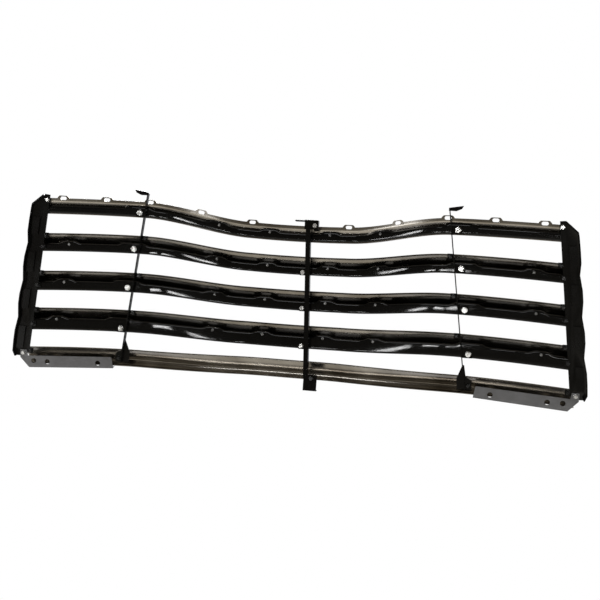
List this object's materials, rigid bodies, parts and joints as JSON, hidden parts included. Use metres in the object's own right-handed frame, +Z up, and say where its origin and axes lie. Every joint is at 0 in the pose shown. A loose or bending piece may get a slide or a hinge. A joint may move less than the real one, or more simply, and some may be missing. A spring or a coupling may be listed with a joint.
{
  "type": "front grille",
  "caption": "Front grille of a vintage light truck: chrome bars with black inner bars, joined by end supports, braces and a center support.",
  "frame": {"origin": "middle of the upright flange along the top bar, where the grille bolts to the panel above it", "axes": "+Z up, the grille faces -Y, +X towards the vehicle's left side"},
  "size_m": [1.325, 0.2233, 0.4025],
  "materials": {
    "bar_chrome": "bright chrome outside, thin brownish chrome inside",
    "inner_black": "gloss black enamel",
    "frame_black": "semi-gloss black enamel",
    "bracket_grey": "satin grey metal",
    "bolt_zinc": "bright zinc plate",
    "bolt_black": "black enamel over hexagon heads"
  },
  "bodies": {
    "root": {"outer_bar_1": "bar_chrome", "outer_bar_2": "bar_chrome", "outer_bar_3": "bar_chrome", "outer_bar_4": "bar_chrome", "outer_bar_5": "bar_chrome", "inner_bar_1": "inner_black", "inner_bar_2": "inner_black", "inner_bar_3": "inner_black", "inner_bar_4": "inner_black", "end_support_left": "frame_black", "brace_left": "frame_black", "lower_bracket_left": "bracket_grey", "brace_bolt_left_1": "bolt_zinc", "brace_bolt_left_2": "bolt_zinc", "brace_bolt_left_3": "bolt_zinc", "brace_bolt_left_4": "bolt_zinc", "brace_lip_bolt_left_2": "bolt_black", "brace_lip_bolt_left_3": "bolt_black", "brace_lip_bolt_left_4": "bolt_black", "brace_foot_bolt_left": "bolt_black", "support_bolt_left_1": "bolt_zinc", "support_bolt_left_2": "bolt_black", "support_bolt_left_3": "bolt_black", "support_bolt_left_4": "bolt_black", "support_bolt_left_5": "bolt_black", "support_lower_bolt_left_2": "bolt_black", "support_lower_bolt_left_3": "bolt_black", "support_lower_bolt_left_4": "bolt_black", "bracket_bolt_left": "bolt_zinc", "end_support_right": "frame_black", "brace_right": "frame_black", "lower_bracket_right": "bracket_grey", "brace_bolt_right_1": "bolt_zinc", "brace_bolt_right_2": "bolt_zinc", "brace_bolt_right_3": "bolt_zinc", "brace_bolt_right_4": "bolt_zinc", "brace_lip_bolt_right_2": "bolt_black", "brace_lip_bolt_right_3": "bolt_black", "brace_lip_bolt_right_4": "bolt_black", "brace_foot_bolt_right": "bolt_black", "support_bolt_right_1": "bolt_zinc", "support_bolt_right_2": "bolt_black", "support_bolt_right_3": "bolt_black", "support_bolt_right_4": "bolt_black", "support_bolt_right_5": "bolt_black", "support_lower_bolt_right_2": "bolt_black", "support_lower_bolt_right_3": "bolt_black", "support_lower_bolt_right_4": "bolt_black", "bracket_bolt_right": "bolt_zinc", "center_support": "frame_black", "center_top_bracket": "frame_black", "center_foot_bracket": "frame_black", "center_bolt_2": "bolt_zinc", "center_bolt_3": "bolt_zinc", "center_bolt_4": "bolt_zinc", "center_top_bolt": "bolt_zinc", "center_foot_bolt": "bolt_black"}
  },
  "joints": []
}
